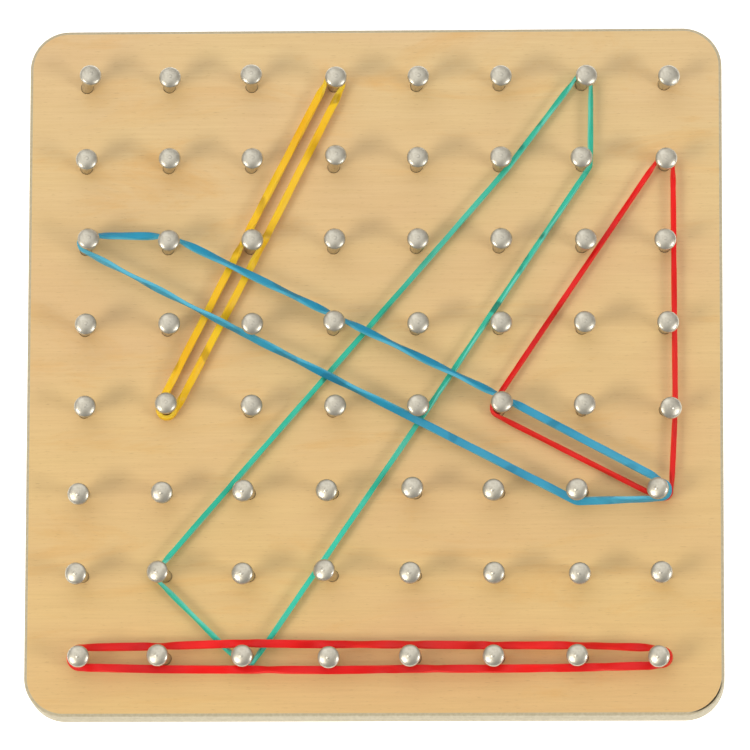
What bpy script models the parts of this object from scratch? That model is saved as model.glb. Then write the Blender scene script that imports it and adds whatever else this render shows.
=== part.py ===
"""Wooden pin board: 64 round-head metal pins in a square board, with five stretched rubber bands.

Run with: blender --background --python part.py
Metres, +Z up. The origin is the centre of the board's underside. Row 1 is at +Y, column 1 at -X.
"""

import math
import random

import bmesh
import bpy
from mathutils import Matrix, Vector

# Board
BOARD_SIDE = 0.230
BOARD_THICK = 0.015
CORNER_RADIUS = 0.013
CORNER_STEPS = 7
EDGE_ROUND = 0.0010

# Pin grid
COLUMNS = 8
ROWS = 8
PITCH = 0.0274

# Pin: a straight shank with a flat-bottomed dome head, driven into a blind hole
SHANK_RADIUS = 0.0020
HEAD_RADIUS = 0.00365
HEAD_UNDERSIDE = 0.0096
HEAD_RIM = 0.0008
HEAD_DOME = 0.0016
PIN_DEPTH = 0.0088
PIN_SIDES = 12
DOME_STEPS = 3
GAP = 0.0003

# The pins lean: the upper rows to the right and back, the lower rows to the left and forward.
# Leans are (right, back) in degrees.
TOP_LEAN = (5.5, 5.5)
MIDDLE_LEAN = (6.5, 1.5)
LOWER_LEAN = (-8.0, -3.0)
TOP_ROWS = (1, 2, 3)
LOWER_ROWS = (6, 7, 8)
LEAN_SCATTER = 0.7
SCATTER_SEED = 8

# Pins knocked well away from the lean of their row, by (row, column)
KNOCKED_PINS = {
    (1, 1): (11, 11),
    (1, 3): (3, 11),
    (1, 7): (11, 5),
    (1, 8): (10, 4),
    (2, 4): (7, 10),
    (2, 7): (1, 4),
    (2, 8): (4, 1),
    (3, 1): (9, 9),
    (3, 7): (9, 3),
    (3, 8): (2, 2),
    (4, 4): (5, 6),
    (5, 2): (2, 7),
    (5, 6): (7, 6),
    (5, 8): (11, -5),
    (6, 1): (-5, -8),
    (6, 2): (-4, -6),
    (6, 5): (-4, 1),
    (6, 8): (-14, -2),
    (7, 2): (-12, 1),
    (7, 4): (-12, 2),
    (7, 7): (-4, -5),
    (8, 1): (-3, -3),
    (8, 2): (-11, -1),
    (8, 4): (-3, -5),
    (8, 8): (-13, -5),
}

# Neighbouring pins joined in pairs by a strip inside the board, one (row, left column) per pair
PAIRS = [(6, 3), (6, 5)] + [(row, column) for row in (7, 8) for column in (1, 3, 5, 7)]
STRIP_DEPTH = 0.0050
STRIP_SIDE = 0.0016

# Rubber bands: heights of their centre lines above the board
LOW_LEVEL = 0.0028
HIGH_LEVEL = 0.0056
BAND_HEIGHT = 0.0020
BAND_CHAMFER = 0.0004
PIN_CLEARANCE = 0.00035
ARC_STEP = math.radians(30.0)
YELLOW_WIDTH = 0.0022
BLUE_WIDTH = 0.0024
TEAL_WIDTH = 0.0018
TRIANGLE_WIDTH = 0.0016
ROW_WIDTH = 0.0030
ROW_BULGE = 0.0012
ROW_BULGE_COLUMN = 3
ROW_BULGE_STEPS = 5

# Turns taken by each band: (row, column, side). Side 1 has the pin inside the loop, -1 outside it.
YELLOW_TURNS = [(1, 4, 1), (5, 2, 1)]
BLUE_TURNS = [(3, 1, 1), (4, 3, 1), (5, 5, 1), (6, 7, 1), (6, 8, 1), (5, 6, 1), (4, 4, 1), (3, 2, 1)]
TEAL_TURNS = [(1, 7, 1), (2, 6, -1), (7, 2, 1), (8, 3, 1), (5, 5, 1), (2, 7, 1)]
TRIANGLE_TURNS = [(2, 8, 1), (5, 6, 1), (6, 8, 1), (5, 8, 1)]
ROW_TURNS = [(8, 1, 1), (8, 8, 1)]


def clear_scene():
    for old in list(bpy.data.objects):
        bpy.data.objects.remove(old, do_unlink=True)


def new_material(name, colour, roughness, metallic=0.0):
    material = bpy.data.materials.new(name)
    material.use_nodes = True
    shader = material.node_tree.nodes["Principled BSDF"]
    shader.inputs["Base Color"].default_value = (*colour, 1.0)
    shader.inputs["Roughness"].default_value = roughness
    shader.inputs["Metallic"].default_value = metallic
    return material


def new_object(name, bm, material=None, smooth_angle=None):
    bmesh.ops.recalc_face_normals(bm, faces=bm.faces)
    mesh = bpy.data.meshes.new(name)
    bm.to_mesh(mesh)
    bm.free()
    if material:
        mesh.materials.append(material)
    if smooth_angle:
        mesh.shade_smooth()
        mesh.set_sharp_from_angle(angle=smooth_angle)
    thing = bpy.data.objects.new(name, mesh)
    bpy.context.scene.collection.objects.link(thing)
    return thing


def make_cutter(name, bm):
    cutter = new_object(name, bm)
    cutter.hide_render = True
    cutter.display_type = "WIRE"
    return cutter


def add_boolean(thing, cutter, operation):
    boolean = thing.modifiers.new(cutter.name, "BOOLEAN")
    boolean.operation = operation
    boolean.solver = "EXACT"
    boolean.object = cutter


def bridge_rings(bm, rings, closed=False):
    """Joins each ring of vertices to the next with quads; the ends are capped, or joined if closed."""
    pairs = list(zip(rings, rings[1:]))
    if closed:
        pairs.append((rings[-1], rings[0]))
    for lower, upper in pairs:
        count = len(lower)
        for i in range(count):
            j = (i + 1) % count
            bm.faces.new((lower[i], lower[j], upper[j], upper[i]))
    if not closed:
        bm.faces.new(rings[0][::-1])
        bm.faces.new(rings[-1])


# ---- pin places ----


def row_lean(row):
    if row in LOWER_ROWS:
        return LOWER_LEAN
    if row in TOP_ROWS:
        return TOP_LEAN
    return MIDDLE_LEAN


def all_pin_leans():
    """{(row, column): (right, back)} in radians."""
    rng = random.Random(SCATTER_SEED)
    leans = {}
    for row in range(1, ROWS + 1):
        for column in range(1, COLUMNS + 1):
            right, back = KNOCKED_PINS.get((row, column), row_lean(row))
            right += rng.uniform(-LEAN_SCATTER, LEAN_SCATTER)
            back += rng.uniform(-LEAN_SCATTER, LEAN_SCATTER)
            leans[row, column] = (math.radians(right), math.radians(back))
    return leans


PIN_LEANS = all_pin_leans()


def pin_foot(row, column):
    """The point where a pin's axis meets the board's top."""
    x = (column - (COLUMNS + 1) / 2) * PITCH
    y = ((ROWS + 1) / 2 - row) * PITCH
    return Vector((x, y, BOARD_THICK))


def pin_direction(row, column):
    right, back = PIN_LEANS[row, column]
    return Vector((math.tan(right), math.tan(back), 1.0)).normalized()


def pin_matrix(row, column):
    turn = Vector((0, 0, 1)).rotation_difference(pin_direction(row, column))
    return Matrix.Translation(pin_foot(row, column)) @ turn.to_matrix().to_4x4()


def pin_centre(row, column, height):
    """The pin's axis at a height above the board, in plan."""
    direction = pin_direction(row, column)
    return (pin_foot(row, column) + direction * (height / direction.z)).to_2d()


# ---- board ----


def rounded_square(half, radius):
    """The outline's points, anticlockwise from the right side."""
    points = []
    for corner in range(4):
        start = corner * math.pi / 2
        middle = Matrix.Rotation(start, 2) @ Vector((half - radius, half - radius))
        for step in range(CORNER_STEPS + 1):
            angle = start + step / CORNER_STEPS * math.pi / 2
            points.append(middle + radius * Vector((math.cos(angle), math.sin(angle))))
    return points


def edge_profile():
    """(inset, height) of the board's edge, from the underside to the top, with both arrises rounded."""
    lower = []
    for angle in (0, math.pi / 4, math.pi / 2):
        lower.append((EDGE_ROUND * (1 - math.sin(angle)), EDGE_ROUND * (1 - math.cos(angle))))
    upper = [(inset, BOARD_THICK - height) for inset, height in reversed(lower)]
    return lower + upper


def board_blank():
    bm = bmesh.new()
    rings = []
    for inset, height in edge_profile():
        outline = rounded_square(BOARD_SIDE / 2 - inset, CORNER_RADIUS - inset)
        rings.append([bm.verts.new((p.x, p.y, height)) for p in outline])
    bridge_rings(bm, rings)
    return bm


def turned_ring(bm, matrix, radius, height):
    """A ring of vertices about the matrix's Z axis."""
    ring = []
    for i in range(PIN_SIDES):
        angle = (i + 0.5) * math.tau / PIN_SIDES
        place = Vector((radius * math.cos(angle), radius * math.sin(angle), height))
        ring.append(bm.verts.new(matrix @ place))
    return ring


def add_cylinder(bm, matrix, radius, low, high):
    bridge_rings(bm, [turned_ring(bm, matrix, radius, height) for height in (low, high)])


def strip_ends(row, column):
    """The strip's two ends, on the axes of the pins that it joins."""
    return [pin_matrix(row, c) @ Vector((0, 0, -STRIP_DEPTH)) for c in (column, column + 1)]


def add_strip(bm, row, column, side):
    left, right = strip_ends(row, column)
    half = side / 2
    rings = []
    for end in (left, right):
        corners = ((-half, -half), (half, -half), (half, half), (-half, half))
        rings.append([bm.verts.new(end + Vector((0, dy, dz))) for dy, dz in corners])
    bridge_rings(bm, rings)


def hole_cutter():
    bm = bmesh.new()
    for row in range(1, ROWS + 1):
        for column in range(1, COLUMNS + 1):
            add_cylinder(bm, pin_matrix(row, column), SHANK_RADIUS + GAP, -PIN_DEPTH - GAP, 2 * SHANK_RADIUS)
    return make_cutter("hole_cutter", bm)


def tunnel_cutter():
    bm = bmesh.new()
    for row, column in PAIRS:
        add_strip(bm, row, column, STRIP_SIDE + 2 * GAP)
    return make_cutter("tunnel_cutter", bm)


def make_board(material):
    board = new_object("board", board_blank(), material, math.radians(30))
    add_boolean(board, hole_cutter(), "DIFFERENCE")
    add_boolean(board, tunnel_cutter(), "DIFFERENCE")


# ---- pins ----


def pin_profile():
    """(radius, height) from the pin's foot to the top of its dome, without the centre point."""
    dome_base = HEAD_UNDERSIDE + HEAD_RIM
    profile = [(SHANK_RADIUS, -PIN_DEPTH), (SHANK_RADIUS, HEAD_UNDERSIDE), (HEAD_RADIUS, HEAD_UNDERSIDE)]
    for step in range(DOME_STEPS):
        angle = step / DOME_STEPS * math.pi / 2
        profile.append((HEAD_RADIUS * math.cos(angle), dome_base + HEAD_DOME * math.sin(angle)))
    return profile


def add_pin(bm, matrix):
    rings = [turned_ring(bm, matrix, radius, height) for radius, height in pin_profile()]
    for lower, upper in zip(rings, rings[1:]):
        for i in range(PIN_SIDES):
            j = (i + 1) % PIN_SIDES
            bm.faces.new((lower[i], lower[j], upper[j], upper[i]))
    bm.faces.new(rings[0][::-1])
    top = bm.verts.new(matrix @ Vector((0, 0, HEAD_UNDERSIDE + HEAD_RIM + HEAD_DOME)))
    for i in range(PIN_SIDES):
        bm.faces.new((rings[-1][i], rings[-1][(i + 1) % PIN_SIDES], top))


def make_single_pin(row, column, material):
    bm = bmesh.new()
    add_pin(bm, Matrix.Identity(4))
    pin = new_object(f"pin_r{row}_c{column}", bm, material, math.radians(40))
    pin.matrix_world = pin_matrix(row, column)


def make_pin_pair(row, column, material):
    bm = bmesh.new()
    add_pin(bm, pin_matrix(row, column))
    add_pin(bm, pin_matrix(row, column + 1))
    pair = new_object(f"pin_pair_r{row}_c{column}_c{column + 1}", bm, material, math.radians(40))
    strip = bmesh.new()
    add_strip(strip, row, column, STRIP_SIDE)
    add_boolean(pair, make_cutter(f"strip_r{row}_c{column}", strip), "UNION")


def make_pins(material):
    paired = {(row, column + side) for row, column in PAIRS for side in (0, 1)}
    for row in range(1, ROWS + 1):
        for column in range(1, COLUMNS + 1):
            if (row, column) not in paired:
                make_single_pin(row, column, material)
    for row, column in PAIRS:
        make_pin_pair(row, column, material)


# ---- rubber bands ----


def tangent_heading(start, start_radius, end, end_radius):
    """The heading of the strand that keeps each centre on its left at its signed radius."""
    way = end - start
    return math.atan2(way.y, way.x) - math.asin((end_radius - start_radius) / way.length)


def belt_path(turns, level, width):
    """The band's centre line in plan, anticlockwise round the pins of its turns."""
    reach = SHANK_RADIUS + PIN_CLEARANCE + width / 2
    centres = [pin_centre(row, column, level) for row, column, side in turns]
    radii = [side * reach for row, column, side in turns]
    count = len(turns)
    headings = []
    for i in range(count):
        j = (i + 1) % count
        headings.append(tangent_heading(centres[i], radii[i], centres[j], radii[j]))
    points = []
    for i in range(count):
        arrive = headings[i - 1]
        turn = (headings[i] - arrive + math.pi) % math.tau - math.pi
        if turn < 0 < radii[i] and abs(turn) > math.pi / 2:
            turn += math.tau
        steps = max(1, math.ceil(abs(turn) / ARC_STEP))
        for step in range(steps + 1):
            heading = arrive + turn * step / steps
            left = Vector((-math.sin(heading), math.cos(heading)))
            points.append(centres[i] - radii[i] * left)
    return points


def bulged_row_path():
    """The row's band: its far strand bows away from the pins, most of all at one column."""
    points = belt_path(ROW_TURNS, HIGH_LEVEL, ROW_WIDTH)
    right_end, left_end = points[-1], points[0]
    peak = (ROW_BULGE_COLUMN - 1) / (COLUMNS - 1)
    strand = []
    for step in range(1, 2 * ROW_BULGE_STEPS):
        along = step / (2 * ROW_BULGE_STEPS)
        place = 1 - along
        reach = place / peak if place < peak else (1 - place) / (1 - peak)
        bow = ROW_BULGE * math.sin(reach * math.pi / 2)
        point = right_end.lerp(left_end, along)
        strand.append(point + Vector((0, bow)))
    return points + strand


def band_section(width):
    """(outward, up) corners of the band's section, a chamfered rectangle."""
    half, tall, cut = width / 2, BAND_HEIGHT / 2, BAND_CHAMFER
    corner = [(half, tall - cut), (half - cut, tall)]
    mirrored = [(-x, y) for x, y in reversed(corner)]
    top = corner + mirrored
    return top + [(-x, -y) for x, y in top]


def make_band(name, path, level, width, material):
    bm = bmesh.new()
    count = len(path)
    rings = []
    for i, point in enumerate(path):
        before = (point - path[i - 1]).normalized()
        after = (path[(i + 1) % count] - point).normalized()
        along = (before + after).normalized()
        outward = Vector((along.y, -along.x)) / max(0.5, along.dot(after))
        ring = []
        for out, up in band_section(width):
            plan = point + outward * out
            ring.append(bm.verts.new((plan.x, plan.y, BOARD_THICK + level + up)))
        rings.append(ring)
    bridge_rings(bm, rings, closed=True)
    new_object(name, bm, material, math.radians(50))


def make_bands():
    yellow = new_material("yellow_rubber", (0.97, 0.56, 0.03), 0.5)
    teal = new_material("teal_rubber", (0.06, 0.52, 0.36), 0.5)
    blue = new_material("blue_rubber", (0.02, 0.27, 0.58), 0.5)
    red = new_material("red_rubber", (0.82, 0.02, 0.02), 0.5)
    simple_bands = [
        ("band_yellow", YELLOW_TURNS, LOW_LEVEL, YELLOW_WIDTH, yellow),
        ("band_teal", TEAL_TURNS, LOW_LEVEL, TEAL_WIDTH, teal),
        ("band_blue", BLUE_TURNS, HIGH_LEVEL, BLUE_WIDTH, blue),
        ("band_red_triangle", TRIANGLE_TURNS, LOW_LEVEL, TRIANGLE_WIDTH, red),
    ]
    for name, turns, level, width, material in simple_bands:
        make_band(name, belt_path(turns, level, width), level, width, material)
    make_band("band_red_row", bulged_row_path(), HIGH_LEVEL, ROW_WIDTH, red)


def main():
    clear_scene()
    make_board(new_material("birch_plywood", (0.78, 0.55, 0.30), 0.55))
    make_pins(new_material("satin_aluminium", (0.72, 0.71, 0.68), 0.35, 1.0))
    make_bands()


main()
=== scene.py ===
"""The finished look of the wooden pin board: plywood board, turned aluminium pins and rubber bands.

The board's size, each pin's place and lean, and each band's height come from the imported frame. Metres, +Z up.
"""

import math

import bmesh
import bpy
import numpy as np
from mathutils import Matrix, Vector


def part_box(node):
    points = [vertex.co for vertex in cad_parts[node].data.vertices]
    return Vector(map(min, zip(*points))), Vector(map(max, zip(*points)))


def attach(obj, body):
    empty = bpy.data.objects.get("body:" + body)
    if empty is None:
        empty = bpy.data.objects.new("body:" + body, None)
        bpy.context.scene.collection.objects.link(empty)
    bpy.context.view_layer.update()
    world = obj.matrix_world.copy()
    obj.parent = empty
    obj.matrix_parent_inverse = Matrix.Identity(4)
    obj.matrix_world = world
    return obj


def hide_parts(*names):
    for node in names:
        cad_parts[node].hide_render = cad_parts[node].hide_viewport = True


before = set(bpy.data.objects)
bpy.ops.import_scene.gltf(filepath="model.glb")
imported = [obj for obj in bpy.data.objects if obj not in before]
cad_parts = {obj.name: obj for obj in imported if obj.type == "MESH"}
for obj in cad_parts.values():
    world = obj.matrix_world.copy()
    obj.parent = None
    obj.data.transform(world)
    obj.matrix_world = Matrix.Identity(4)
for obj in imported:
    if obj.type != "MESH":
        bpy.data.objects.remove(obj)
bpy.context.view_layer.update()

BOARD_BODY = "pin_board"
BOARD_LOW, BOARD_HIGH = (Vector(corner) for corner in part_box("board"))
BOARD_TOP = BOARD_HIGH.z
MM = 0.001

# Camera
TARGET = Vector((0.0002, -0.0016, BOARD_TOP))
DISTANCE = 2.5
TILT = math.radians(10.2)
TURN = math.radians(14.0)
ROLL = math.radians(0.17)
LENS = 363.5
SENSOR_WIDTH = 36
CLIP_RANGE = (0.05, 20)

# Light: (name, azimuth, elevation, size, power, colour), and the sky's brightest direction. The sky's
# strength grows from dim, where the cosine of the angle to that direction is the edge's, to bright.
LIGHT_DISTANCE = 2.4
SOFTBOXES = [
    ("left_softbox", 207, 42.5, (0.8, 1.0), 19, (1, 0.95, 0.86)),
    ("right_softbox", -21, 35, (0.7, 0.6), 14.5, (1, 1, 1)),
    ("back_softbox", 120, 60, (1.8, 1.8), 2, (1, 1, 1)),
]
SKY_BRIGHTEST = Vector((-0.1, 0.5, 0.85))
SKY_EDGE = 0.6
SKY_DIM = 0.36
SKY_BRIGHT = 1.22
FLOOR_HALF = 3.0
FLOOR_GLOW = 0.7
TOOTH_SCALE = (300, 300, 300)

# Board
CORNER_RADIUS = 13 * MM
CORNER_STEPS = 24
EDGE_ROUND = 1.0 * MM
ROUND_STEPS = 5
BOARD_SHARP_ANGLE = math.radians(30)
PLY_COUNT = 7

# Wood: noise scales per metre along X, Y and Z, and the depth of the relief
CLOUD_SCALE = (9, 22, 9)
STREAK_SCALE = (14, 190, 14)
FLAME_SCALE = (10, 44, 10)
GRAIN_SCALE = (45, 1500, 45)
PORE_SCALE = (330, 3400, 330)
GRAIN_RELIEF = 0.03 * MM
PLY_WOBBLE_SCALE = (60, 60, 60)
PLY_WOBBLE = 0.25 * MM
FIBRE_SCALE = (900, 900, 260)
FIBRE_RELIEF = 0.06 * MM

# The gap under the top veneer at the front right corner, between two angles about the corner's centre
SPLIT_START = math.radians(-8)
SPLIT_END = math.radians(-80)
SPLIT_STEPS = 24
SPLIT_DEPTH = 2.6 * MM
SPLIT_WIDEST = 0.6 * MM
SPLIT_TIP = 0.04 * MM
SPLIT_FULLNESS = 0.8
SPLIT_INSET = 0.75 * MM

# Pins
SHANK_RADIUS = 2.0 * MM
HEAD_RADIUS = 3.62 * MM
HEAD_HEIGHT = 2.4 * MM
FOOT_CHAMFER = 0.4 * MM
NECK_FILLET = 0.35 * MM
RIM_ROUND = 0.25 * MM
RIM_HEIGHT = 0.9 * MM
NUB_RADIUS = 0.7 * MM
NUB_HEIGHT = 0.13 * MM
# (part of the nub's radius, part of its height), from its rim to the pin's tip
NUB_CURVE = [(1, 0), (0.82, 0.55), (0.5, 0.9), (0, 1)]
LATHE_STEPS = 56
DOME_STEPS = 16
PIN_ROUND_STEPS = 4
PIN_SHARP_ANGLE = math.radians(35)
HOLE_RADIUS = 2.1 * MM
HOLE_STEPS = 40
# How far a hole goes on below its pin's foot
HOLE_UNDER = 0.2 * MM

# Reading the CAD pins: the foot is their lowest ring of corners
SAME_POINT_DIGITS = 7
FOOT_CORNERS = 12
AXIS_ROUNDS = 4

# Metal: noise scales per metre, and the depth of the relief
RING_SCALE_OUTWARD = 5200.0
RING_SCALE_UPWARD = 3200.0
HAZE_SCALE = (620, 620, 620)
RING_RELIEF = 0.012 * MM
HAZE_RELIEF = 0.07 * MM

# Bands: each turn is (row, column, side, roll there, slack there, roll on the strand that follows).
# Side 1 has the pin inside the loop, and -1 outside. A roll is the band's turn about its own length, in
# degrees: 0 upright against the pin, 90 flat. The slack is its distance from the pin beyond touching, in mm.
PIN_CLEARANCE = 0.05 * MM
ARC_STEP = math.radians(7)
STRAIGHT_STEP = 1.2 * MM
TWIST_LENGTH = 9 * MM
WANDER_ROLL = math.radians(16)
WANDER_LENGTH = 23 * MM
SECTION_ROUND = 0.2
SECTION_STEPS = 3
BAND_SHARP_ANGLE = math.radians(60)
BAND_TURNS = {
    "band_yellow": [
        (1, 4, 1, 0, 0, 80),
        (3, 3, 1, 15, 0, 100),
        (5, 2, 1, 0, 0, 75),
        (3, 3, 1, 15, 0, 80),
    ],
    "band_blue": [
        (3, 1, 1, 0, 0, 10),
        (4, 3, 1, 27, 0, 30),
        (5, 5, 1, 60, 0.1, 90),
        (6, 7, 1, 58, 0, 35),
        (6, 8, 1, 0, 0.2, 80),
        (5, 6, 1, 10, 0, 38),
        (4, 4, 1, 10, 0, 45),
        (3, 2, 1, 0, 0, 60),
    ],
    "band_teal": [
        (1, 7, 1, 0, 0, 50),
        (2, 6, -1, 60, 0, 80),
        (7, 2, 1, 0, 0, 35),
        (8, 3, 1, 0, 0, 75),
        (5, 5, 1, 100, 0, 130),
        (2, 7, 1, 20, 0, 45),
    ],
    "band_red_triangle": [
        (2, 8, 1, 0, 0, 65),
        (5, 6, 1, 0, 0, 45),
        (6, 8, 1, 0, 0, 60),
        (5, 8, 1, 10, 0, 70),
    ],
    "band_red_row": [
        (8, 1, 1, 35, 0, 105),
        (8, 2, 1, 85, 0.7, 70),
        (8, 3, 1, 100, 0.7, 125),
        (8, 4, 1, 75, 0.6, 60),
        (8, 5, 1, 90, 0.6, 120),
        (8, 6, 1, 110, 0.5, 60),
        (8, 7, 1, 80, 0.3, 115),
        (8, 8, 1, 10, 0, 60),
        (8, 7, 1, 35, 0.3, 75),
        (8, 6, 1, 45, 0.3, 100),
        (8, 5, 1, 45, 0.6, 60),
        (8, 4, 1, 60, 0.9, 110),
        (8, 3, 1, 50, 1.1, 85),
        (8, 2, 1, 35, 0.2, 80),
    ],
}
# The section of each band: (width, thickness)
BAND_SIZES = {
    "band_yellow": (2.4 * MM, 1.5 * MM),
    "band_blue": (2.6 * MM, 1.3 * MM),
    "band_teal": (1.7 * MM, 1.2 * MM),
    "band_red_triangle": (1.7 * MM, 1.2 * MM),
    "band_red_row": (2.7 * MM, 1.1 * MM),
}

# Rubber: (main, light, dark, darkness of the painted shade spots that stand in for the shade of twists,
# paleness of the first run), colours as 0 to 255. Light is also the colour of the painted highlight on the cut
# edges.
RUBBER_LOOKS = {
    "yellow": ((255, 212, 30), (255, 224, 80), (248, 186, 10), 0.5, 0.0),
    "blue": ((40, 160, 196), (112, 206, 226), (16, 134, 176), 0.3, 0.3),
    "teal": ((62, 208, 178), (128, 228, 210), (20, 170, 138), 0.7, 0.0),
    "red": ((246, 18, 14), (250, 62, 48), (214, 8, 8), 0.0, 0.0),
}
DRIFT_SCALE = (30, 30, 30)
DRIFT_LIGHT_SCALE = (17, 21, 17)
# The paleness fades out between these distances along the band, in mm
PALE_RUN = (35, 95)
SCUFF_SCALE_AROUND = 60.0
SCUFF_SCALE_ALONG = 0.12
SCUFF_RELIEF = 0.03 * MM
# Painted shade: random dark spots on the rubber that stand in for the shade where the bands twist
TWIST_SHADE_SCALE = (130, 130, 130)
TWIST_SHADE_DEPTH = 0.3


# ---- node helpers ----


def new_material(name):
    material = bpy.data.materials.new(name)
    material.use_nodes = True
    tree = material.node_tree
    return material, tree, tree.nodes["Principled BSDF"]


def add_node(tree, kind, **settings):
    node = tree.nodes.new(kind)
    for key, value in settings.items():
        setattr(node, key, value)
    return node


def plug(tree, value, socket):
    """Links an output to a socket, or sets the socket to a plain value."""
    if isinstance(value, bpy.types.NodeSocket):
        tree.links.new(value, socket)
    else:
        socket.default_value = value


def scaled_coords(tree, scale):
    coords = add_node(tree, "ShaderNodeTexCoord")
    mapping = add_node(tree, "ShaderNodeMapping")
    mapping.inputs["Scale"].default_value = scale
    tree.links.new(coords.outputs["Object"], mapping.inputs["Vector"])
    return mapping.outputs["Vector"]


def split_coords(tree, kind="Object"):
    """The texture coordinates of that kind, as the outputs X, Y and Z."""
    coords = add_node(tree, "ShaderNodeTexCoord")
    split = add_node(tree, "ShaderNodeSeparateXYZ")
    tree.links.new(coords.outputs[kind], split.inputs[0])
    return split.outputs


def place_at(tree, x, y):
    """A vector from two values, with Z left at 0."""
    node = add_node(tree, "ShaderNodeCombineXYZ")
    plug(tree, x, node.inputs["X"])
    plug(tree, y, node.inputs["Y"])
    return node.outputs[0]


def noise(tree, vector, detail=3.0, roughness=0.5, distortion=0.0):
    node = add_node(tree, "ShaderNodeTexNoise")
    tree.links.new(vector, node.inputs["Vector"])
    node.inputs["Scale"].default_value = 1.0
    node.inputs["Detail"].default_value = detail
    node.inputs["Roughness"].default_value = roughness
    node.inputs["Distortion"].default_value = distortion
    return node.outputs["Fac"]


def ramp(tree, value, low, high, out_low=0.0, out_high=1.0):
    """Maps low..high to out_low..out_high, held at both ends."""
    node = add_node(tree, "ShaderNodeMapRange")
    plug(tree, value, node.inputs["Value"])
    node.inputs["From Min"].default_value = low
    node.inputs["From Max"].default_value = high
    node.inputs["To Min"].default_value = out_low
    node.inputs["To Max"].default_value = out_high
    return node.outputs["Result"]


def maths(tree, operation, first, second=0.0):
    node = add_node(tree, "ShaderNodeMath", operation=operation)
    plug(tree, first, node.inputs[0])
    plug(tree, second, node.inputs[1])
    return node.outputs["Value"]


def mix(tree, factor, first, second):
    node = add_node(tree, "ShaderNodeMix", data_type="RGBA")
    plug(tree, factor, node.inputs["Factor"])
    plug(tree, first, node.inputs[6])
    plug(tree, second, node.inputs[7])
    return node.outputs[2]


def bump(tree, height, distance, strength):
    node = add_node(tree, "ShaderNodeBump")
    node.inputs["Strength"].default_value = strength
    node.inputs["Distance"].default_value = distance
    tree.links.new(height, node.inputs["Height"])
    return node.outputs["Normal"]


def linear(red, green, blue):
    """A colour given as 0 to 255 display values, as linear light."""
    values = []
    for part in (red, green, blue):
        part /= 255
        values.append(part / 12.92 if part <= 0.04045 else ((part + 0.055) / 1.055) ** 2.4)
    return (*values, 1.0)


# ---- materials ----


def wood_face():
    """Birch veneer: long fine grain along X, short dark pores, and soft clouds of pink and yellow."""
    material, tree, shader = new_material("birch_face")
    back = ramp(tree, split_coords(tree)["Y"], BOARD_LOW.y, BOARD_HIGH.y)
    plain = mix(tree, back, linear(232, 196, 128), linear(234, 203, 146))
    pink = mix(tree, back, linear(228, 187, 126), linear(231, 196, 144))
    clouds = noise(tree, scaled_coords(tree, CLOUD_SCALE), detail=4, roughness=0.55, distortion=0.4)
    tone = mix(tree, ramp(tree, clouds, 0.35, 0.65), plain, pink)
    streaks = noise(tree, scaled_coords(tree, STREAK_SCALE), detail=4, roughness=0.6, distortion=0.3)
    tone = mix(tree, ramp(tree, streaks, 0.45, 0.75, 0.0, 0.2), tone, linear(216, 176, 110))
    flames = noise(tree, scaled_coords(tree, FLAME_SCALE), detail=6, roughness=0.7, distortion=1.2)
    tone = mix(tree, ramp(tree, flames, 0.53, 0.72, 0.0, 0.55), tone, linear(226, 172, 92))
    grain = noise(tree, scaled_coords(tree, GRAIN_SCALE), detail=3, roughness=0.65)
    tone = mix(tree, ramp(tree, grain, 0.3, 0.75, 0.0, 0.24), tone, linear(198, 158, 104))
    pores = noise(tree, scaled_coords(tree, PORE_SCALE), detail=2, roughness=0.5)
    pore_mask = ramp(tree, pores, 0.63, 0.75)
    tone = mix(tree, maths(tree, "MULTIPLY", pore_mask, 0.35), tone, linear(165, 122, 74))
    plug(tree, tone, shader.inputs["Base Color"])
    plug(tree, ramp(tree, grain, 0.3, 0.7, 0.42, 0.55), shader.inputs["Roughness"])
    height = maths(tree, "SUBTRACT", grain, maths(tree, "MULTIPLY", pore_mask, 0.6))
    plug(tree, bump(tree, height, GRAIN_RELIEF, 0.6), shader.inputs["Normal"])
    return material


def wood_edge():
    """The board's cut edge: plies in turn along and across the grain, with thin glue lines."""
    material, tree, shader = new_material("birch_edge")
    wobble = noise(tree, scaled_coords(tree, PLY_WOBBLE_SCALE), detail=2)
    height = maths(tree, "ADD", split_coords(tree)["Z"], maths(tree, "MULTIPLY", wobble, PLY_WOBBLE))
    plies = maths(tree, "MULTIPLY", height, PLY_COUNT / (BOARD_HIGH.z - BOARD_LOW.z))
    within = maths(tree, "FRACT", plies)
    turn = maths(tree, "PINGPONG", plies, 1.0)
    across = ramp(tree, turn, 0.42, 0.58)
    fibres = noise(tree, scaled_coords(tree, FIBRE_SCALE), detail=3, roughness=0.6)
    light = mix(tree, ramp(tree, fibres, 0.3, 0.7), linear(206, 196, 168), linear(194, 182, 152))
    dark = mix(tree, ramp(tree, fibres, 0.35, 0.65), linear(200, 188, 158), linear(186, 173, 142))
    tone = mix(tree, across, light, dark)
    from_middle = maths(tree, "ABSOLUTE", maths(tree, "SUBTRACT", within, 0.5))
    glue = ramp(tree, from_middle, 0.455, 0.49, 0.0, 0.15)
    tone = mix(tree, glue, tone, linear(140, 118, 86))
    plug(tree, tone, shader.inputs["Base Color"])
    shader.inputs["Roughness"].default_value = 0.7
    plug(tree, bump(tree, fibres, FIBRE_RELIEF, 0.7), shader.inputs["Normal"])
    return material


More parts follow.
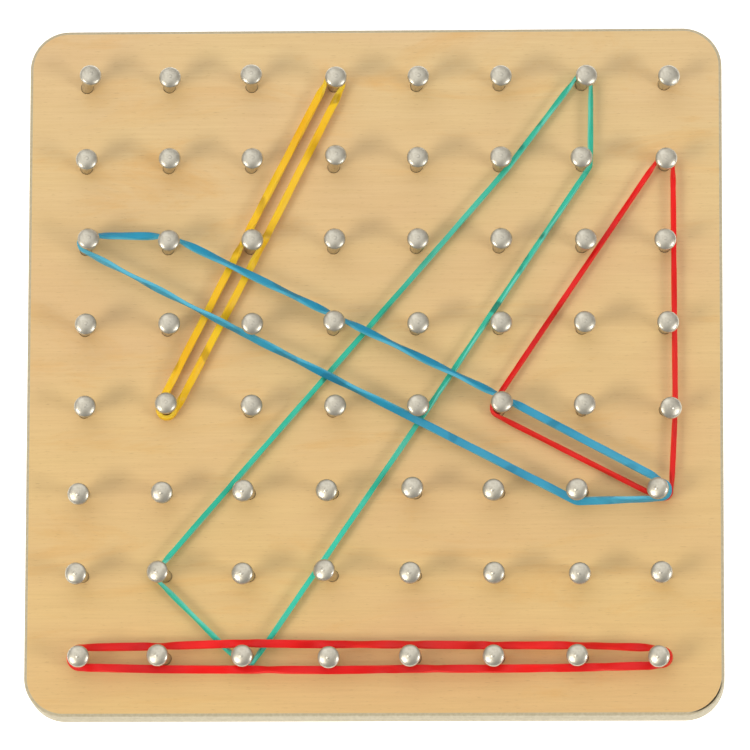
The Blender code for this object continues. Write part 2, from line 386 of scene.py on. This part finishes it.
def pin_metal():
    """Satin turned aluminium: fine rings round the axis, and a light haze."""
    material, tree, shader = new_material("turned_aluminium")
    place = split_coords(tree)
    x_squared = maths(tree, "MULTIPLY", place["X"], place["X"])
    y_squared = maths(tree, "MULTIPLY", place["Y"], place["Y"])
    radius = maths(tree, "SQRT", maths(tree, "ADD", x_squared, y_squared))
    outward = maths(tree, "MULTIPLY", radius, RING_SCALE_OUTWARD)
    upward = maths(tree, "MULTIPLY", place["Z"], RING_SCALE_UPWARD)
    rings = noise(tree, place_at(tree, outward, upward), detail=2, roughness=0.6)
    haze = noise(tree, scaled_coords(tree, HAZE_SCALE), detail=4, roughness=0.6)
    tone = mix(tree, ramp(tree, haze, 0.3, 0.7), linear(216, 210, 194), linear(190, 183, 166))
    plug(tree, tone, shader.inputs["Base Color"])
    shader.inputs["Metallic"].default_value = 1.0
    haze_rough = ramp(tree, haze, 0.3, 0.7, 0.29, 0.41)
    ring_rough = maths(tree, "MULTIPLY", rings, 0.06)
    plug(tree, maths(tree, "ADD", haze_rough, ring_rough), shader.inputs["Roughness"])
    ring_relief = maths(tree, "MULTIPLY", rings, RING_RELIEF)
    haze_relief = maths(tree, "MULTIPLY", haze, HAZE_RELIEF)
    relief = maths(tree, "ADD", ring_relief, haze_relief)
    plug(tree, bump(tree, relief, 1.0, 0.5), shader.inputs["Normal"])
    return material


def rubber(name, main, light, dark, twist_shade, pale):
    """Flat elastic, whose UV runs round the section in X and along the band in Y, in mm.

    The cut edges are lighter, a painted highlight; the colour drifts along the band; and random dark spots of
    painted shade stand in for the shade of its twists. Twist_shade says how dark that painted shade is, and
    pale how much lighter the first run is.
    """
    material, tree, shader = new_material(name)
    run = split_coords(tree, "UV")
    drift = noise(tree, scaled_coords(tree, DRIFT_SCALE), detail=2, roughness=0.5)
    tone = mix(tree, ramp(tree, drift, 0.35, 0.68), main, dark)
    drift_light = noise(tree, scaled_coords(tree, DRIFT_LIGHT_SCALE), detail=1)
    tone = mix(tree, ramp(tree, drift_light, 0.5, 0.75, 0.0, 0.35), tone, light)
    # Painted highlight: the cut edges of the section are mixed towards the light colour, standing in for the
    # sheen along the band's corners
    quarter = maths(tree, "PINGPONG", run["X"], 0.25)
    edge = ramp(tree, quarter, 0.14, 0.235)
    tone = mix(tree, maths(tree, "MULTIPLY", edge, 0.75), tone, light)
    tone = mix(tree, ramp(tree, run["Y"], *PALE_RUN, pale, 0.0), tone, light)
    around = maths(tree, "MULTIPLY", run["X"], SCUFF_SCALE_AROUND)
    along = maths(tree, "MULTIPLY", run["Y"], SCUFF_SCALE_ALONG)
    scuffs = noise(tree, place_at(tree, around, along), detail=3, roughness=0.6)
    # Painted shade: random dark spots, a darker copy of the dark colour, stand in for the shade of the band's
    # twists
    twist_shade_spots = noise(tree, scaled_coords(tree, TWIST_SHADE_SCALE), detail=0)
    twist_shade_colour = tuple(channel * TWIST_SHADE_DEPTH for channel in dark[:3]) + (1,)
    tone = mix(tree, ramp(tree, twist_shade_spots, 0.70, 0.76, 0.0, twist_shade), tone, twist_shade_colour)
    tone = mix(tree, ramp(tree, scuffs, 0.45, 0.75, 0.0, 0.25), tone, dark)
    plug(tree, tone, shader.inputs["Base Color"])
    plug(tree, ramp(tree, scuffs, 0.3, 0.7, 0.36, 0.5), shader.inputs["Roughness"])
    shader.inputs["Specular IOR Level"].default_value = 0.3
    shader.inputs["Subsurface Weight"].default_value = 0.2
    shader.inputs["Subsurface Radius"].default_value = (1.0, 0.8, 0.6)
    shader.inputs["Subsurface Scale"].default_value = 0.6 * MM
    plug(tree, bump(tree, scuffs, SCUFF_RELIEF, 0.5), shader.inputs["Normal"])
    return material


def floor_paper():
    """White seamless paper: bright, with a very faint tooth."""
    material, tree, shader = new_material("white_paper")
    tooth = noise(tree, scaled_coords(tree, TOOTH_SCALE), detail=4, roughness=0.6)
    plug(tree, mix(tree, tooth, (0.9, 0.9, 0.9, 1), (0.93, 0.93, 0.93, 1)), shader.inputs["Base Color"])
    shader.inputs["Roughness"].default_value = 0.9
    shader.inputs["Emission Color"].default_value = (1, 1, 1, 1)
    shader.inputs["Emission Strength"].default_value = FLOOR_GLOW
    return material


# ---- mesh helpers ----


def new_object(name, bm, materials, smooth_angle=None):
    bmesh.ops.recalc_face_normals(bm, faces=bm.faces)
    mesh = bpy.data.meshes.new(name)
    bm.to_mesh(mesh)
    bm.free()
    for material in materials:
        mesh.materials.append(material)
    if smooth_angle:
        mesh.shade_smooth()
        mesh.set_sharp_from_angle(angle=smooth_angle)
    thing = bpy.data.objects.new(name, mesh)
    bpy.context.scene.collection.objects.link(thing)
    return thing


def lathe(bm, profile, steps, matrix=Matrix.Identity(4)):
    """Turns (radius, height) points about Z; a radius of 0 closes the end in one point."""
    rings = []
    for radius, height in profile:
        if radius == 0:
            rings.append([bm.verts.new(matrix @ Vector((0, 0, height)))])
            continue
        ring = []
        for i in range(steps):
            angle = i * math.tau / steps
            point = Vector((radius * math.cos(angle), radius * math.sin(angle), height))
            ring.append(bm.verts.new(matrix @ point))
        rings.append(ring)
    for lower, upper in zip(rings, rings[1:]):
        for i in range(steps):
            j = (i + 1) % steps
            below = [lower[i % len(lower)], lower[j % len(lower)]]
            above = [upper[j % len(upper)], upper[i % len(upper)]]
            bm.faces.new(list(dict.fromkeys(below + above)))


def arc_points(centre, radius, start, end, steps):
    """(radius, height) points along an arc, from start to end inclusive."""
    points = []
    for step in range(steps + 1):
        angle = start + (end - start) * step / steps
        points.append((centre[0] + radius * math.cos(angle), centre[1] + radius * math.sin(angle)))
    return points


# ---- pins ----


def node_points(name):
    """The corners of a CAD node, each once."""
    corners = np.array([tuple(v.co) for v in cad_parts[name].data.vertices])
    return np.unique(corners.round(SAME_POINT_DIGITS), axis=0)


def pin_axis(points):
    """The centre of a CAD pin's foot, its direction and its length, from the corners of one pin."""
    direction = np.array([0.0, 0.0, 1.0])
    for _ in range(AXIS_ROUNDS):
        order = np.argsort(points @ direction)
        foot = points[order[:FOOT_CORNERS]].mean(axis=0)
        direction = points[order[-1]] - foot
        length = np.linalg.norm(direction)
        direction /= length
    return Vector(foot), Vector(direction), float(length)


def find_pins():
    """{(row, column): (CAD node, foot, direction, length)} from the nodes of single pins and of pairs."""
    pins = {}
    for name in sorted(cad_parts):
        parts = name.split("_")
        if parts[0] != "pin":
            continue
        row = int(parts[-3][1:]) if parts[1] == "pair" else int(parts[1][1:])
        columns = [int(part[1:]) for part in parts if part[0] == "c"]
        points = node_points(name)
        if len(columns) == 1:
            pins[row, columns[0]] = (name, *pin_axis(points))
        else:
            middle = points[:, 0].mean()
            left = points[points[:, 0] < middle - SHANK_RADIUS]
            right = points[points[:, 0] > middle + SHANK_RADIUS]
            pins[row, columns[0]] = (name, *pin_axis(left))
            pins[row, columns[1]] = (name, *pin_axis(right))
    return pins


PINS = find_pins()
PIN_LENGTH = PINS[1, 1][3]
HEAD_UNDERSIDE = PIN_LENGTH - HEAD_HEIGHT


def pin_matrix(place):
    """The frame of a pin: the origin is its foot and Z its axis."""
    _, foot, direction, _ = PINS[place]
    turn = Vector((0, 0, 1)).rotation_difference(direction)
    return Matrix.Translation(foot) @ turn.to_matrix().to_4x4()


def pin_centre(place, height):
    """The pin's axis at a height above the board, in plan."""
    _, foot, direction, _ = PINS[place]
    return (foot + direction * ((BOARD_TOP + height - foot.z) / direction.z)).to_2d()


def pin_profile():
    """(radius, height) points of a pin: chamfered foot, shank, flat-bottomed head, low dome and small nub."""
    profile = [(0, 0), (SHANK_RADIUS - FOOT_CHAMFER, 0), (SHANK_RADIUS, FOOT_CHAMFER)]
    profile.append((SHANK_RADIUS, HEAD_UNDERSIDE - NECK_FILLET))
    fillet_centre = (SHANK_RADIUS + NECK_FILLET, HEAD_UNDERSIDE - NECK_FILLET)
    profile += arc_points(fillet_centre, NECK_FILLET, math.pi, math.pi / 2, PIN_ROUND_STEPS)[1:]
    round_centre = (HEAD_RADIUS - RIM_ROUND, HEAD_UNDERSIDE + RIM_ROUND)
    profile += arc_points(round_centre, RIM_ROUND, -math.pi / 2, 0, PIN_ROUND_STEPS)
    dome_base = HEAD_UNDERSIDE + RIM_HEIGHT
    dome_height = PIN_LENGTH - dome_base - NUB_HEIGHT
    for step in range(DOME_STEPS):
        angle = step / DOME_STEPS * math.pi / 2
        radius = HEAD_RADIUS * math.cos(angle)
        if radius > NUB_RADIUS:
            profile.append((radius, dome_base + dome_height * math.sin(angle)))
    nub_base = dome_base + dome_height * math.sqrt(1 - (NUB_RADIUS / HEAD_RADIUS) ** 2)
    for radius_part, height_part in NUB_CURVE:
        profile.append((NUB_RADIUS * radius_part, nub_base + NUB_HEIGHT * height_part))
    return profile


def make_pins(metal):
    bm = bmesh.new()
    lathe(bm, pin_profile(), LATHE_STEPS)
    first = new_object("pin_shape", bm, [metal], PIN_SHARP_ANGLE)
    mesh = first.data
    bpy.data.objects.remove(first)
    for row, column in sorted(PINS):
        pin = bpy.data.objects.new(f"metal_pin_r{row}_c{column}", mesh)
        bpy.context.scene.collection.objects.link(pin)
        pin.matrix_world = pin_matrix((row, column))
        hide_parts(PINS[row, column][0])
        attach(pin, BOARD_BODY)


# ---- board ----


def rounded_square(half, radius):
    """The outline's points, anticlockwise from the right side."""
    points = []
    for corner in range(4):
        start = corner * math.pi / 2
        middle = Matrix.Rotation(start, 2) @ Vector((half - radius, half - radius))
        for step in range(CORNER_STEPS + 1):
            angle = start + step / CORNER_STEPS * math.pi / 2
            points.append(middle + radius * Vector((math.cos(angle), math.sin(angle))))
    return points


def board_rings():
    """(inset, height) of the board's edge from the underside up, with both arrises rounded."""
    lower = []
    for step in range(ROUND_STEPS + 1):
        angle = step / ROUND_STEPS * math.pi / 2
        lower.append((EDGE_ROUND * (1 - math.sin(angle)), EDGE_ROUND * (1 - math.cos(angle))))
    upper = [(inset, BOARD_TOP - height) for inset, height in reversed(lower)]
    return lower + upper


def board_blank():
    bm = bmesh.new()
    half = (BOARD_HIGH.x - BOARD_LOW.x) / 2
    rings = []
    for inset, height in board_rings():
        outline = rounded_square(half - inset, CORNER_RADIUS - inset)
        rings.append([bm.verts.new((p.x, p.y, height)) for p in outline])
    count = len(rings[0])
    for lower, upper in zip(rings, rings[1:]):
        for i in range(count):
            j = (i + 1) % count
            face = bm.faces.new((lower[i], lower[j], upper[j], upper[i]))
            face.material_index = 1
    bm.faces.new(rings[0][::-1])
    bm.faces.new(rings[-1])
    return bm


def hole_cutter():
    """All the blind holes."""
    bm = bmesh.new()
    for place in sorted(PINS):
        length = PINS[place][3]
        profile = [(0, -HOLE_UNDER), (HOLE_RADIUS, -HOLE_UNDER), (HOLE_RADIUS, length), (0, length)]
        lathe(bm, profile, HOLE_STEPS, pin_matrix(place))
    return bm


def corner_split_cutter():
    """A thin crescent at the front right corner, where the top veneer has come away from the ply below."""
    centre = Vector((BOARD_HIGH.x - CORNER_RADIUS, BOARD_LOW.y + CORNER_RADIUS))
    low, high = BOARD_TOP - SPLIT_DEPTH, BOARD_TOP + SPLIT_DEPTH
    bm = bmesh.new()
    rings = []
    for step in range(SPLIT_STEPS + 1):
        along = step / SPLIT_STEPS
        angle = SPLIT_START + (SPLIT_END - SPLIT_START) * along
        half = max(SPLIT_TIP, SPLIT_WIDEST / 2 * math.sin(math.pi * along) ** SPLIT_FULLNESS)
        way = Vector((math.cos(angle), math.sin(angle)))
        inner = centre + way * (CORNER_RADIUS - SPLIT_INSET - half)
        outer = centre + way * (CORNER_RADIUS - SPLIT_INSET + half)
        corners = [(*inner, low), (*outer, low), (*outer, high), (*inner, high)]
        rings.append([bm.verts.new(corner) for corner in corners])
    for first, second in zip(rings, rings[1:]):
        for i in range(4):
            j = (i + 1) % 4
            bm.faces.new((first[i], first[j], second[j], second[i]))
    bm.faces.new(rings[0][::-1])
    bm.faces.new(rings[-1])
    return bm


def cut(board, bm, material):
    """Cuts the board and applies the cut, so that no modifier is left on it."""
    cutter = new_object("cutter", bm, [material])
    boolean = board.modifiers.new("cut", "BOOLEAN")
    boolean.operation = "DIFFERENCE"
    boolean.solver = "EXACT"
    boolean.object = cutter
    boolean.material_mode = "TRANSFER"
    done = bpy.data.meshes.new_from_object(board.evaluated_get(bpy.context.evaluated_depsgraph_get()))
    board.modifiers.clear()
    board.data = done
    bpy.data.objects.remove(cutter)


def make_board(face_wood, edge_wood):
    board = new_object("plywood_board", board_blank(), [face_wood, edge_wood])
    cut(board, hole_cutter(), edge_wood)
    cut(board, corner_split_cutter(), edge_wood)
    board.data.name = "plywood_board"
    board.data.shade_smooth()
    board.data.set_sharp_from_angle(angle=BOARD_SHARP_ANGLE)
    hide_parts("board")
    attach(board, BOARD_BODY)


# ---- bands ----


def tangent_heading(start, start_radius, end, end_radius):
    """The heading of the strand that keeps each centre on its left at its signed radius."""
    way = end - start
    return math.atan2(way.y, way.x) - math.asin((end_radius - start_radius) / way.length)


def turn_radius(name, side, roll, slack):
    """The signed distance from a pin's axis to the band's centre line, where it lies at that roll."""
    width, thick = BAND_SIZES[name]
    angle = math.radians(roll)
    half = (abs(math.cos(angle)) * thick + abs(math.sin(angle)) * width) / 2
    return side * (SHANK_RADIUS + PIN_CLEARANCE + half + slack * MM)


def belt_samples(name, height):
    """The band's run as samples (plan point, heading, roll), anticlockwise round its turns."""
    turns = BAND_TURNS[name]
    centres = [pin_centre(turn[:2], height) for turn in turns]
    radii = [turn_radius(name, *turn[2:5]) for turn in turns]
    rolls = [math.radians(turn[3]) for turn in turns]
    count = len(turns)
    headings = []
    for i in range(count):
        j = (i + 1) % count
        headings.append(tangent_heading(centres[i], radii[i], centres[j], radii[j]))
    samples = []
    for i in range(count):
        j = (i + 1) % count
        arrive = headings[i - 1]
        bend = (headings[i] - arrive + math.pi) % math.tau - math.pi
        if bend < 0 < radii[i] and abs(bend) > math.pi / 2:
            bend += math.tau
        steps = max(1, math.ceil(abs(bend) / ARC_STEP))
        for step in range(steps + 1):
            heading = arrive + bend * step / steps
            samples.append((centres[i] - radii[i] * left_of(heading), heading, rolls[i]))
        start = samples[-1][0]
        end = centres[j] - radii[j] * left_of(headings[i])
        length = (end - start).length
        steps = max(2, math.ceil(length / STRAIGHT_STEP))
        for step in range(1, steps):
            along = step / steps
            roll = strand_roll(along * length, length, rolls[i], math.radians(turns[i][5]), rolls[j])
            samples.append((start.lerp(end, along), headings[i], roll))
    return samples


def strand_roll(place, length, first, own, last):
    """The roll along a strand: that of the pin at each end, and a wander about its own between them."""
    reach = min(TWIST_LENGTH, length / 2)
    leaving = smooth(place / reach)
    arriving = smooth((length - place) / reach)
    wander = WANDER_ROLL * math.sin(place / WANDER_LENGTH * math.tau) * leaving * arriving
    return own + wander + (first - own) * (1 - leaving) + (last - own) * (1 - arriving)


def left_of(heading):
    """The direction to the left of a heading, in plan."""
    return Vector((-math.sin(heading), math.cos(heading)))


def smooth(value):
    """Eases a value from 0 to 1, level at both ends and held beyond them."""
    value = min(1.0, max(0.0, value))
    return value * value * (3 - 2 * value)


def band_section(width, thick):
    """(across thickness, along width) points of the section, a rectangle with round corners."""
    corner = thick * SECTION_ROUND
    points = []
    for quarter, (sx, sy) in enumerate(((1, 1), (-1, 1), (-1, -1), (1, -1))):
        centre = (sx * (thick / 2 - corner), sy * (width / 2 - corner))
        start = quarter * math.pi / 2
        points += arc_points(centre, corner, start, start + math.pi / 2, SECTION_STEPS)
    return points


def make_band(name, samples, height, material):
    """Sweeps the section round the run, closed on itself, with the UV that the rubber's look needs."""
    width, thick = BAND_SIZES[name]
    section = band_section(width, thick)
    bm = bmesh.new()
    uv_layer = bm.loops.layers.uv.new("run")
    rings = []
    distances = [0.0]
    for (before, *_), (after, *_) in zip(samples, samples[1:] + samples[:1]):
        distances.append(distances[-1] + (after - before).length)
    for point, heading, roll in samples:
        out = Vector((math.sin(heading), -math.cos(heading), 0))
        up = Vector((0, 0, 1))
        thin = out * math.cos(roll) + up * math.sin(roll)
        wide = up * math.cos(roll) - out * math.sin(roll)
        place = Vector((point.x, point.y, BOARD_TOP + height))
        rings.append([bm.verts.new(place + thin * a + wide * b) for a, b in section])
    count = len(section)
    for i, ring in enumerate(rings):
        following = rings[(i + 1) % len(rings)]
        for k in range(count):
            n = (k + 1) % count
            face = bm.faces.new((ring[k], ring[n], following[n], following[k]))
            corners = ((k, i), (k + 1, i), (k + 1, i + 1), (k, i + 1))
            for loop, (around, step) in zip(face.loops, corners):
                loop[uv_layer].uv = (around / count, distances[step] / MM)
    band = new_object(name + "_elastic", bm, [material], BAND_SHARP_ANGLE)
    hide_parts(name)
    return band


def band_height(name):
    """The height of the CAD band's centre line above the board."""
    low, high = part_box(name)
    return (low[2] + high[2]) / 2 - BOARD_TOP


def make_bands():
    rubbers = {}
    for colour, (main, light, dark, twist_shade, pale) in RUBBER_LOOKS.items():
        tones = (linear(*main), linear(*light), linear(*dark))
        rubbers[colour] = rubber(f"{colour}_elastic", *tones, twist_shade, pale)
    for name in BAND_TURNS:
        label = name.removeprefix("band_")
        colour = label.split("_")[0]
        height = band_height(name)
        band = make_band(name, belt_samples(name, height), height, rubbers[colour])
        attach(band, f"{label}_band")


# ---- studio ----


def make_camera():
    back = Vector((math.sin(TILT) * math.sin(TURN), -math.sin(TILT) * math.cos(TURN), math.cos(TILT)))
    right = Vector((0, 1, 0)).cross(back).normalized()
    up = back.cross(right)
    rolled_right = math.cos(ROLL) * right + math.sin(ROLL) * up
    rolled_up = math.cos(ROLL) * up - math.sin(ROLL) * right
    data = bpy.data.cameras.new("camera")
    data.lens = LENS
    data.sensor_width = SENSOR_WIDTH
    data.clip_start, data.clip_end = CLIP_RANGE
    camera = bpy.data.objects.new("camera", data)
    turn = Matrix((rolled_right, rolled_up, back)).transposed()
    camera.matrix_world = Matrix.Translation(TARGET + back * DISTANCE) @ turn.to_4x4()
    bpy.context.scene.collection.objects.link(camera)
    bpy.context.scene.camera = camera


def add_softbox(name, azimuth, elevation, size, power, colour):
    """A rectangular light aimed at the board. Azimuth is anticlockwise from +X; size is (width, height)."""
    a, e = math.radians(azimuth), math.radians(elevation)
    way = Vector((math.cos(a) * math.cos(e), math.sin(a) * math.cos(e), math.sin(e)))
    data = bpy.data.lights.new(name, "AREA")
    data.shape = "RECTANGLE"
    data.size, data.size_y = size
    data.energy = power
    data.color = colour
    light = bpy.data.objects.new(name, data)
    light.location = way * LIGHT_DISTANCE
    light.rotation_euler = way.to_track_quat("Z", "Y").to_euler()
    bpy.context.scene.collection.objects.link(light)


def make_world():
    """A dim room that is brightest overhead, towards the back left."""
    world = bpy.data.worlds.new("studio")
    world.use_nodes = True
    tree = world.node_tree
    coords = add_node(tree, "ShaderNodeTexCoord")
    facing = add_node(tree, "ShaderNodeVectorMath", operation="DOT_PRODUCT")
    tree.links.new(coords.outputs["Generated"], facing.inputs[0])
    facing.inputs[1].default_value = SKY_BRIGHTEST.normalized()
    strength = ramp(tree, facing.outputs["Value"], SKY_EDGE, 1.0, SKY_DIM, SKY_BRIGHT)
    tree.links.new(strength, tree.nodes["Background"].inputs["Strength"])
    tree.nodes["Background"].inputs["Color"].default_value = (1, 1, 1, 1)
    bpy.context.scene.world = world


def make_floor():
    bm = bmesh.new()
    bmesh.ops.create_grid(bm, x_segments=8, y_segments=8, size=FLOOR_HALF)
    floor = new_object("floor", bm, [floor_paper()])
    floor.location.z = BOARD_LOW.z


def make_studio():
    make_camera()
    make_world()
    make_floor()
    for softbox in SOFTBOXES:
        add_softbox(*softbox)
    bpy.context.scene.view_settings.view_transform = "Standard"


make_board(wood_face(), wood_edge())
make_pins(pin_metal())
make_bands()
make_studio()
